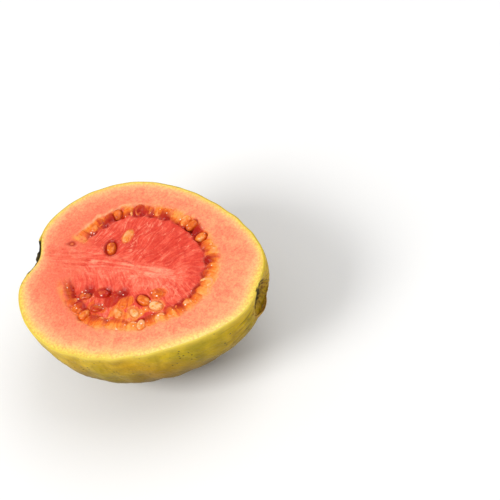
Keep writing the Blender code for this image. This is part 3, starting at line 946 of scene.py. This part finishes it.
def gel_attributes(x, y, places):
    """What the cut's finish reads round the seeds: gel and its tone, from 0, deep red, to 1, pale peach, a
    place round the pulp in millimetres, a deep red gap that is partly painted shade, the ring's lip with a
    highlight painted on it that is partly its pale edge, and wet."""
    share, angle = pulp_place(x, y)
    turns = np.degrees(angle)
    flat = np.stack([x, y], -1)
    bent, closed, bed, near, which = ring_place(x, y, places)
    tone, clear = (value[which] for value in seed_looks(places))
    lone = which >= RING_SEEDS + BAND_SEEDS
    cloud = np.clip(0.5 + 0.5 * waves(flat, 3.2 * MM, 18, 43), 0.0, 1.0)
    close = smooth_step((1.7 - near) / 0.5)
    at, tones = np.array(RING_TONES).T
    round_tone = np.where(which < RING_SEEDS, np.interp(turns, at, tones), 0.5 * tone + 0.4)
    light = smooth_step(round_tone / 0.6)

    # Deep red in pits, ring gaps, the eye; painted shade in the groove, round clean seeds, between seeds
    crevice = bell(share, 0.88, 0.06) * closed * ring_gap(angle)
    # Painted shade: this line and the next three darken the groove, the pockets of clean seeds and between
    # seeds
    groove = bell(bent, 0.84, 0.028) * closed * (0.3 + 0.6 * cloud) * (1.0 - 0.7 * bell(turns, -80, 30, 4))
    pocket = 0.9 * clear * bell(near, 1.1 + 0.15 * lone, 0.16 + 0.22 * lone)
    between = 0.65 * bed * smooth_step((near - 1.1) / 0.4) * (1.0 - 0.6 * cloud)
    between = between * smooth_step((0.95 - bent) / 0.05)
    eye_off = np.hypot(x - EYE[0], 1.4 * (y - EYE[1])) / EYE[2] * (1.0 + 0.1 * waves(flat, 2 * MM, 14, 46))
    eye = 0.9 * bell(eye_off, 0.0, 1.2, 4) * (1.0 - 0.9 * bell(eye_off, 0.0, 0.4))
    gap = np.clip(pit_nearness(x, y) + crevice + groove + pocket + between + eye, 0.0, 1.0)

    # Gel: the ring's bed and its cloudy outer edge, round the other seeds, clots among them, stray patches
    band = smooth_step((1.75 - 0.4 * lone - near) / 0.5) * (which >= RING_SEEDS) * (1.0 - clear)
    halo = bell(bent, 0.985, 0.04) * closed * (0.5 + 0.5 * cloud) * light
    clots = smooth_step((waves(flat, 3.6 * MM, 18, 44) + 0.35) / 0.5)
    clots = clots * bell(turns, -92, 42, 4) * bell(share, 0.78, 0.13, 4)
    stray = stray_gel(x, y)
    gel = np.maximum.reduce([bed, 0.9 * band, 0.85 * halo, 0.85 * clots, 0.85 * stray])
    gel = np.clip(gel, 0.0, 1.0)
    outward = 0.35 * smooth_step((bent - 0.94) / 0.05) * closed * (1.0 - 0.6 * close) * light
    # Painted shade: the gel's tone falls towards the ring's inner side
    inward = 0.28 * smooth_step((0.925 - bent) / 0.06) * bed
    return {
        "gel": gel,
        "gel_tone": close * tone + (1.0 - close) * round_tone + outward - inward + 0.35 * stray,
        "round_mm": np.stack([angle * 26, share * 4, 0 * share], -1),
        "gap": gap,
        # Painted highlight along the ring's outer lip, partly its pale edge
        "lip": bell(bent, 1.01, 0.016) * closed * (0.15 + 0.85 * bell(angle, 2.3, 0.55)),
        "wet": 0.7 * gel * smooth_step((0.99 - bent) / 0.03) + 0.9 * gap,
    }


def cut_attributes(x, y, edge, places):
    """What the cut's finish reads at each point: distance from the rim in millimetres, the strands'
    coordinates, how near their axis it is, how pale, how far it is pulp, cream or blushed flesh, and what the
    gel adds."""
    share, angle = pulp_place(x, y)
    flat = np.stack([x, y], -1)
    strands, core = strand_place(x, y)
    core = core * smooth_step((24 * MM - x) / (14 * MM))
    side = y - (AXIS_Y + AXIS_SLOPE * x)
    ragged = 0.02 * waves(flat, 4 * MM, 16, 41)
    stem_side = smooth_step((np.abs(angle) - 2.3) / 0.5)
    inside = smooth_step((0.985 - share + ragged) / (0.05 + 0.3 * stem_side))
    heart = bell(x, 5 * MM, 9 * MM) * bell(side, 0.0, 3 * MM)
    under_axis = bell(x, 2 * MM, 15 * MM) * bell(side, -5 * MM, 4.5 * MM)
    neck_width = 5 * MM + 0.35 * np.maximum(x + 38 * MM, 0.0)
    neck = bell(side, 0.0, neck_width) * smooth_step((4 * MM - x) / (16 * MM))
    neck = neck * smooth_step((edge - 1.0 * MM) / (4 * MM)) * (0.85 + 0.15 * waves(flat, 3 * MM, 16, 42))
    blush = bell(share, 0.98, 0.26 + 0.14 * stem_side) * np.where(y > 0, 0.62, 0.68)
    blush = blush * smooth_step((-x - 2 * MM) / (24 * MM)) * smooth_step((edge - 2.5 * MM) / (6 * MM))
    cream = smooth_step((x - 1.5 * y - 50 * MM) / (25 * MM)) * bell(edge, 1.3 * MM, 1.2 * MM)
    stem_end = bell(y, 0.0, 10 * MM) * smooth_step((-x - 26 * MM) / (8 * MM))
    flower_end = bell(y, 0.0, 11 * MM) * smooth_step((x - 30 * MM) / (10 * MM))
    streak = 0.5 * bell(side, 0.0, 0.3 * MM) * bell(edge, 3.5 * MM, 2 * MM) * stem_end
    band_ends = 1.0 + np.where(y > 0, 0.5, 0.24) * y / (37 * MM) + 0.9 * stem_end - 0.35 * flower_end
    finish = gel_attributes(x, y, places)
    finish["gap"] = np.clip(finish["gap"] + streak, 0.0, 1.0)
    finish["wet"] = np.clip(0.2 * inside + finish["wet"], 0.0, 1.0)
    return finish | {
        "edge_mm": edge / MM * band_ends,
        "strand_mm": strands,
        "core": core,
        "pale": np.clip(0.09 * core + 0.07 * heart + 0.13 * under_axis, 0.0, 1.0),
        "pulp": np.clip(np.maximum(inside, 0.75 * neck), 0.0, 1.0),
        "cream": 0.7 * cream,
        "blush": np.clip(blush, 0.0, 1.0),
    }


def cut_piece(name, finish_name, x, y, drop, under):
    """Closed piece: on top the relief of the cut at places x and y, lowered by drop, and underneath a grid of
    points, which takes the finish of the top's last row."""
    fruit, looks = bpy.context.scene.guava_fruit, bpy.context.scene.guava_looks
    places = seed_places()
    edge = rim_distance(x, y)
    top = fruit.face_height + cut_height(x, y, edge, places) - drop
    points = np.concatenate([np.stack([x, y, top], -1), under])
    finish = {
        key: np.concatenate([value, np.repeat(value[-1:], len(under), axis=0)])[None]
        for key, value in cut_attributes(x, y, edge, places).items()
    }
    piece(name, loops_mesh(name, points[None], finish), cut_material(finish_name, looks))


class MESH_OT_guava_flesh(Operator):
    """Adds the flesh: a closed solid with the cut on top, which dips under the pulp, and a round underside"""

    bl_idname = "mesh.guava_flesh"
    bl_label = "Flesh"

    columns: steps_setting("Columns", "Steps round the rim", 440, 8)
    rows: steps_setting("Rows", "Steps from the pulp to the rim", 110, 4)
    under_rows: steps_setting("Rows underneath", "Steps of the underside", 16, 3)

    def execute(self, context):
        fruit = context.scene.guava_fruit
        phi = (np.arange(self.columns) + 0.5) * 2 * np.pi / self.columns
        edge = rim(phi)
        inset = 1.0 - 0.8 * fruit.peel_thickness / np.linalg.norm(edge, axis=-1)
        share = inset * np.linspace(0.0, 1.0, self.rows)[:, None] ** 0.6
        x, y = share * edge[:, 0], share * edge[:, 1]
        under_pulp = smooth_step((1.0 - pulp_place(x, y)[0]) / 0.06)
        v = np.linspace(0.0, 1.0, self.under_rows + 1)[1:, None] * np.pi / 2
        under_x, under_y = (0.985 * inset * edge[:, axis] * np.cos(v) for axis in (0, 1))
        fallen = 0.5 * MM + FLESH_DEPTH * np.sin(v) + 0 * phi
        hollow = bell(under_y, CALYX_Y, 9 * MM, 4) * smooth_step(fallen / (3 * MM))
        under_x = under_x - np.where(under_x > 0, 5 * MM * hollow * np.cos(v), 0.0)
        under = np.stack([under_x, under_y, fruit.face_height - fallen], -1)
        cut_piece("flesh", "guava_flesh_moist", x, y, 1.5 * MM * under_pulp, under)
        return {"FINISHED"}


class MESH_OT_guava_pulp(Operator):
    """Adds the pulp: a closed lens with the soft core's relief on top, set into the flesh"""

    bl_idname = "mesh.guava_pulp"
    bl_label = "Pulp"

    columns: steps_setting("Columns", "Steps round the pulp", 480, 8)
    rows: steps_setting("Rows", "Steps from its middle to its edge", 170, 4)
    under_rows: steps_setting("Rows underneath", "Steps of the underside", 10, 3)
    reach: FloatProperty(name="Reach", description="How far it goes past its edge, as a factor", default=1.03)

    def execute(self, context):
        fruit = context.scene.guava_fruit
        angle = (np.arange(self.columns) + 0.5) * 2 * np.pi / self.columns
        share = self.reach * np.linspace(0.0, 1.0, self.rows)[:, None] ** 0.7 + 0 * angle
        x, y = pulp_point(share, angle)
        past_edge = smooth_step((share - 1.0) / 0.03)
        v = np.linspace(0.0, 1.0, self.under_rows + 1)[1:, None] * np.pi / 2
        under_x, under_y = pulp_point(self.reach * np.cos(v) + 0 * angle, angle)
        depth = 1.2 * MM + PULP_DEPTH * np.sin(v) + 0 * angle
        under = np.stack([under_x, under_y, fruit.face_height - depth], -1)
        cut_piece("pulp", "guava_pulp_wet", x, y, 0.6 * MM * past_edge, under)
        return {"FINISHED"}


class MESH_OT_guava_seeds(Operator):
    """Adds the seeds: smooth closed ovals, blunter at their outer end and shaved by the knife, each with its
    own tone and tilt"""

    bl_idname = "mesh.guava_seeds"
    bl_label = "Seeds"

    rows: steps_setting("Rows", "Steps along a seed", 17, 4)
    columns: steps_setting("Columns", "Steps round a seed", 24, 4)
    proud: length_setting("Proud", "How far a seed stands over the cut", 0.02 * MM)
    shave: length_setting("Shave", "Rounding where the knife shaved a seed", 0.3 * MM)
    drowned: length_setting("Drowned", "How far the seeds in the gel lie lower", 0.12 * MM)

    def execute(self, context):
        fruit, looks = context.scene.guava_fruit, context.scene.guava_looks
        places = seed_places()
        draw = np.random.default_rng(51)
        count = len(places)
        x0, y0, depth, turn, size = (column[:, None, None] for column in places.T)
        v = np.linspace(0.0, np.pi, self.rows)[None, :, None]
        u = (np.arange(self.columns) * 2 * np.pi / self.columns)[None, None, :]
        blunt = 1.0 + SEED_BLUNTNESS * np.cos(v)
        along = SEED_RADII[0] * size * np.cos(v) + 0 * u
        round_off = np.maximum(np.sin(v), 0.0) ** SEED_ROUNDNESS
        wide = SEED_RADII[1] * size * round_off * blunt * np.cos(u)
        tall = SEED_RADII[2] * size * round_off * blunt * np.sin(u)
        dents = SEED_DENTS * SEED_RADII[1] * np.sin(3 * v + draw.uniform(0, 6, (count, 1, 1)))
        wide = wide + dents * np.cos(u) * np.sin(v)
        tilt = draw.normal(0.1, 0.2, (count, 1, 1))
        along, tall = along * np.cos(tilt) + tall * np.sin(tilt), tall * np.cos(tilt) - along * np.sin(tilt)
        tone, clean = (value[:, None, None] for value in seed_looks(places))
        top = depth + self.proud + CLEAN_LIFT * clean - self.drowned * (clean < 0.05)
        tall = -self.shave * np.logaddexp(-tall / self.shave, -top / self.shave)
        x = x0 + along * np.cos(turn) - wide * np.sin(turn)
        y = y0 + along * np.sin(turn) + wide * np.cos(turn)
        points = np.stack([x, y, fruit.face_height - depth + tall], -1)
        data = loops_mesh("seeds", points, {"tone": tone + 0 * x, "drowned": 1.0 - clean + 0 * x})
        piece("seeds", data, seed_material(looks))
        return {"FINISHED"}


class MESH_OT_guava_sepals(Operator):
    """Adds the sepals: a thin dry wall along an arc that stops at the cut, its edge in ragged lobes"""

    bl_idname = "mesh.guava_sepals"
    bl_label = "Sepals"

    steps: steps_setting("Steps", "Steps along the arc", 220, 12)
    across: steps_setting("Across", "Steps up each side of the wall", 14, 4)

    def execute(self, context):
        fruit, looks = context.scene.guava_fruit, context.scene.guava_looks
        end = rim(np.linspace(np.pi / 2, np.pi, 361))[:, 0].max()
        root = profile(np.array(np.pi))[0] - middle() - SEPAL_ROOT
        top = CALYX_BELOW_FACE - SEPAL_BELOW_FACE
        open_half = math.acos(top / (SEPAL_RING_RADIUS + SEPAL_THICKNESS))
        angle = np.linspace(open_half, 2 * np.pi - open_half, self.steps)[:, None]
        lobe = np.abs(np.sin(0.5 * SEPAL_LOBES * angle))
        turn = np.concatenate([np.cos(angle), np.sin(angle)], -1) * 8 * MM
        ragged = waves(turn, 4.5 * MM, 14, 61)[:, None]
        tip = end - SEPAL_SHORT - SEPAL_TIP_GAP - SEPAL_NOTCH * (1.0 - lobe) ** 2 + SEPAL_RAGGED * ragged
        side = np.linspace(0.0, 1.0, self.across)[None, :]
        rise = np.concatenate([side, side[:, ::-1]], axis=1)
        outside = np.concatenate([np.ones_like(side), np.zeros_like(side)], axis=1)
        thick = SEPAL_THICKNESS * (1.0 - 0.6 * rise)
        lean = SEPAL_LEAN * rise**2 + 0.2 * MM * ragged * rise
        radius = SEPAL_RING_RADIUS + thick * outside - lean
        x = root + (tip - root) * rise
        y = CALYX_Y + radius * np.sin(angle)
        z = fruit.face_height - CALYX_BELOW_FACE + radius * np.cos(angle)
        points = np.stack([x + 0 * radius, y, z], -1)
        points[..., 2] = np.minimum(points[..., 2], fruit.face_height - 0.2 * MM)
        first, last = (np.broadcast_to(points[i].mean(0), points[i].shape)[None] for i in (0, -1))
        points = np.concatenate([first, points, last])
        data = loops_mesh("sepals", points[None])
        material = dry_material("guava_sepal_papery", tuple(looks.sepal), "7c4c12")
        piece("sepals", data, material)
        return {"FINISHED"}


class MESH_OT_guava_stem_stub(Operator):
    """Adds the stem stub: a short dark plug with a rough torn end, rooted in the stem dent"""

    bl_idname = "mesh.guava_stem_stub"
    bl_label = "Stem stub"

    rows: steps_setting("Rows", "Steps along the stub and over its end", 26, 6)
    columns: steps_setting("Columns", "Steps round the stub", 64, 8)

    def execute(self, context):
        fruit = context.scene.guava_fruit
        bottom = profile(np.array(0.0))[0] - middle()
        v = np.linspace(0.0, 1.0, self.rows)[:, None]
        u = (np.arange(self.columns) * 2 * np.pi / self.columns)[None, :]
        length = STUB_ROOT + STUB_REACH
        radius = STUB_RADIUS * np.clip(np.minimum(v / 0.35, (1.0 - v) / 0.05), 0.0, 1.0)
        x = bottom - STUB_REACH + length * np.clip((v - 0.35) / 0.6, 0.0, 1.0) + 0 * u
        y = radius * np.cos(u)
        z = radius * np.sin(u)
        flat = np.stack([x, y, z], -1)
        torn = smooth_step((0.5 - v) / 0.2) * np.sin(np.pi * np.clip(v / 0.5, 0, 1))
        x = x + 0.3 * MM * waves(flat, 2 * MM, 16, 71) * torn
        grow = 1.0 + 0.05 * waves(flat, 3 * MM, 12, 72)
        points = np.stack(
            [x, STUB_Y + y * grow, fruit.face_height - STUB_BELOW_FACE - STUB_RADIUS + z * grow], -1
        )
        points[..., 2] = np.minimum(points[..., 2], fruit.face_height - 0.15 * MM)
        data = loops_mesh("stem_stub", points[None])
        piece("stem_stub", data, dry_material("guava_stem_dry", "4b3d1a", "17130a"))
        return {"FINISHED"}


def seen_from(place, right, up, back):
    """Matrix of a camera or light at a place, from its own right, up and backward directions."""
    matrix = np.eye(4)
    matrix[:3, :3] = np.stack([right, up, back], -1)
    matrix[:3, 3] = place
    return matrix.T


class SCENE_OT_guava_stage(Operator):
    """Adds the plain pale floor, soft studio light and the camera"""

    bl_idname = "scene.guava_stage"
    bl_label = "Stage"

    azimuth: angle_setting("Azimuth", "Turn of the camera round the object", 39.14)
    elevation: angle_setting("Elevation", "Height angle of the camera", 51.75)
    roll: angle_setting("Roll", "Turn of the camera about its view", -26.67)
    distance: length_setting("Distance", "From the camera to the point it looks at", 0.65)

    def add_camera(self, scene):
        """Camera turned about the point it looks at by azimuth, elevation and roll."""
        a, e = self.azimuth, self.elevation
        back = np.array([math.sin(a) * math.cos(e), -math.cos(a) * math.cos(e), math.sin(e)])
        right = np.array([math.cos(a), math.sin(a), 0.0])
        up = np.cross(back, right)
        c, s = math.cos(self.roll), math.sin(self.roll)
        place = np.array([*CAMERA_AIM, scene.guava_fruit.face_height]) + back * self.distance
        camera = bpy.data.objects.new("camera", bpy.data.cameras.new("camera"))
        camera.data.sensor_width = 36.0
        camera.data.lens = FOCAL_PIXELS / IMAGE_PIXELS * camera.data.sensor_width
        camera.data.clip_start = 0.01
        camera.matrix_world = seen_from(place, c * right + s * up, c * up - s * right, back)
        scene.collection.objects.link(camera)
        scene.camera = camera

    def add_floor(self, scene):
        """Floor of matt white paper: dull and even, with a fine tooth."""
        data = bpy.data.meshes.new("floor")
        far = FLOOR_REACH
        data.from_pydata([(-far, -far, 0), (far, -far, 0), (far, far, 0), (-far, far, 0)], [], [(0, 1, 2, 3)])
        made, tree, shader = new_material("matt_white_paper")
        place = node(tree, "TexCoord", result="Object")
        tooth = node(tree, "TexNoise", {"Vector": place, "Scale": per_metre(2 * MM), "Detail": 2.0})
        bump = node(tree, "Bump", {"Strength": 0.05, "Distance": 0.1 * MM, "Height": tooth})
        connect(shader, {"Base Color": (0.93, 0.93, 0.93), "Normal": bump, "Roughness": 0.9})
        data.materials.append(made)
        floor = bpy.data.objects.new("floor", data)
        scene.collection.objects.link(floor)

    def add_lights(self, scene):
        """Two large square lamps that face the object, under a white studio."""
        for name, place, size, power, colour in (
            ("key", (-0.55, -0.7, 0.95), 0.6, 10.0, (1.0, 0.985, 0.96)),
            ("fill", (0.45, 0.5, 1.0), 1.0, 5.2, (1.0, 1.0, 1.0)),
        ):
            light = bpy.data.lights.new(name, "AREA")
            light.shape = "SQUARE"
            light.size = size
            light.energy = power
            light.color = colour
            made = bpy.data.objects.new(name, light)
            back = np.array(place) - np.array([0.0, 0.0, 0.03])
            back /= np.linalg.norm(back)
            side = np.cross([0.0, 1.0, 0.0], back)
            side /= np.linalg.norm(side)
            made.matrix_world = seen_from(place, side, np.cross(back, side), back)
            scene.collection.objects.link(made)
        world = bpy.data.worlds.new("studio")
        world.use_nodes = True
        connect(world.node_tree.nodes["Background"], {"Color": (1.0, 1.0, 1.0), "Strength": 0.5})
        scene.world = world

    def execute(self, context):
        self.add_camera(context.scene)
        self.add_floor(context.scene)
        self.add_lights(context.scene)
        context.scene.view_settings.view_transform = "Standard"
        context.scene.view_settings.look = "None"
        return {"FINISHED"}


class VIEW3D_PT_guava(Panel):
    """Lists what the add-on can build and the sizes and colours it uses"""

    bl_label = "Half Guava"
    bl_idname = "VIEW3D_PT_guava"
    bl_space_type = "VIEW_3D"
    bl_region_type = "UI"
    bl_category = "Guava"

    def draw(self, context):
        layout = self.layout
        for group in (context.scene.guava_fruit, context.scene.guava_looks):
            box = layout.box()
            for key in type(group).__annotations__:
                box.prop(group, key)
        for entry in OPERATORS:
            layout.operator(entry.bl_idname)


OPERATORS = (
    SCENE_OT_guava_stage,
    MESH_OT_guava_peel,
    MESH_OT_guava_flesh,
    MESH_OT_guava_pulp,
    MESH_OT_guava_seeds,
    MESH_OT_guava_sepals,
    MESH_OT_guava_stem_stub,
)
CLASSES = (GuavaFruit, GuavaLooks, *OPERATORS, VIEW3D_PT_guava)


def register():
    """Makes the add-on's classes and settings known."""
    for entry in CLASSES:
        bpy.utils.register_class(entry)
    bpy.types.Scene.guava_fruit = PointerProperty(type=GuavaFruit)
    bpy.types.Scene.guava_looks = PointerProperty(type=GuavaLooks)


def unregister():
    """Takes the settings and classes away again."""
    del bpy.types.Scene.guava_fruit
    del bpy.types.Scene.guava_looks
    for entry in reversed(CLASSES):
        bpy.utils.unregister_class(entry)


def main():
    """Builds every piece and the stage."""
    register()
    for entry in OPERATORS:
        group, name = entry.bl_idname.split(".")
        getattr(getattr(bpy.ops, group), name)()


if __name__ == "__main__":
    main()
